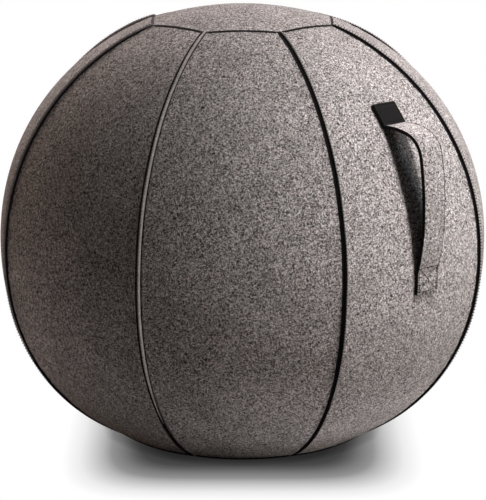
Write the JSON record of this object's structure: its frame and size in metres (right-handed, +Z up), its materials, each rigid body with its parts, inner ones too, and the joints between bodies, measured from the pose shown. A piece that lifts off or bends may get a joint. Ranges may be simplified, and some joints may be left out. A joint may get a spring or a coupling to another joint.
{
  "type": "balance ball chair",
  "caption": "Sitting ball in a zipped felt cover of pointed gores and an octagonal top, with a weighted flat base and a grab strap on one side.",
  "frame": {"origin": "on the floor, under the middle of the ball, on the underside of the foot pad", "axes": "+Z up; -Y points out of the middle of the gore that carries the grab handle; +X is to the right of someone who faces the handle"},
  "size_m": [0.6492, 0.6671, 0.5727],
  "materials": {
    "felt": "mottled brown-grey wool felt",
    "seam_cord": "black sewn cord",
    "base_cloth": "black woven base cloth",
    "foot_rubber": "black non-slip foam rubber",
    "ball_vinyl": "grey soft vinyl",
    "valve_plastic": "white moulded plastic",
    "weight_rubber": "black sand-filled rubber tube",
    "zip_tape": "black zip tape",
    "zip_teeth": "black moulded zip teeth",
    "zip_metal": "black painted zinc",
    "strap_felt": "mottled brown-grey wool felt",
    "strap_webbing": "black woven webbing",
    "patch_leather": "black smooth leather-look patch"
  },
  "bodies": {
    "ball": {"gore_panel_1": "felt", "gore_panel_2": "felt", "gore_panel_3": "felt", "gore_panel_4": "felt", "gore_panel_5": "felt", "gore_panel_6": "felt", "gore_panel_7": "felt", "gore_panel_8": "felt", "top_panel": "felt", "seam_1": "seam_cord", "seam_2": "seam_cord", "seam_3": "seam_cord", "seam_4": "seam_cord", "seam_5": "seam_cord", "seam_6": "seam_cord", "seam_7": "seam_cord", "seam_8": "seam_cord", "top_seam": "seam_cord", "base_welt": "seam_cord", "base_panel": "base_cloth", "foot_pad": "foot_rubber", "inner_ball": "ball_vinyl", "valve_seat": "valve_plastic", "valve_plug": "valve_plastic", "weight_ring": "weight_rubber", "zip_tape_inner": "zip_tape", "zip_tape_outer": "zip_tape", "zip_teeth_inner": "zip_teeth", "zip_teeth_outer": "zip_teeth", "zip_stops": "zip_metal", "strap_upper_end": "strap_felt", "strap_upper_bend": "strap_felt", "strap_lower_bend": "strap_felt", "strap_lower_end": "strap_felt", "label_patch": "patch_leather"},
    "handle": {"strap_grip": "strap_felt", "strap_backing": "strap_webbing"},
    "slider": {"zip_slider": "zip_metal"},
    "pull": {"zip_pull": "zip_metal"}
  },
  "joints": [
    {"name": "handle_swing", "type": "hinge", "parent": "ball", "child": "handle", "pos_m": [0, -0.26624, 0.45312], "axis": [0, 0.3076, 0.9515], "range_deg": [-35, 35], "stiffness_Nm_per_rad": 0.05, "deforming": ["strap_upper_bend", "strap_lower_bend"]},
    {"name": "zip_travel", "type": "hinge", "parent": "ball", "child": "slider", "pos_m": [0, 0, 0.0056], "axis": [0, 0, 1], "range_deg": [0, 189]},
    {"name": "pull_swing", "type": "hinge", "parent": "slider", "child": "pull", "pos_m": [0.11757, -0.01008, 0.0021], "axis": [-0.9963, 0.0854, 0], "range_deg": [0, 165]}
  ]
}
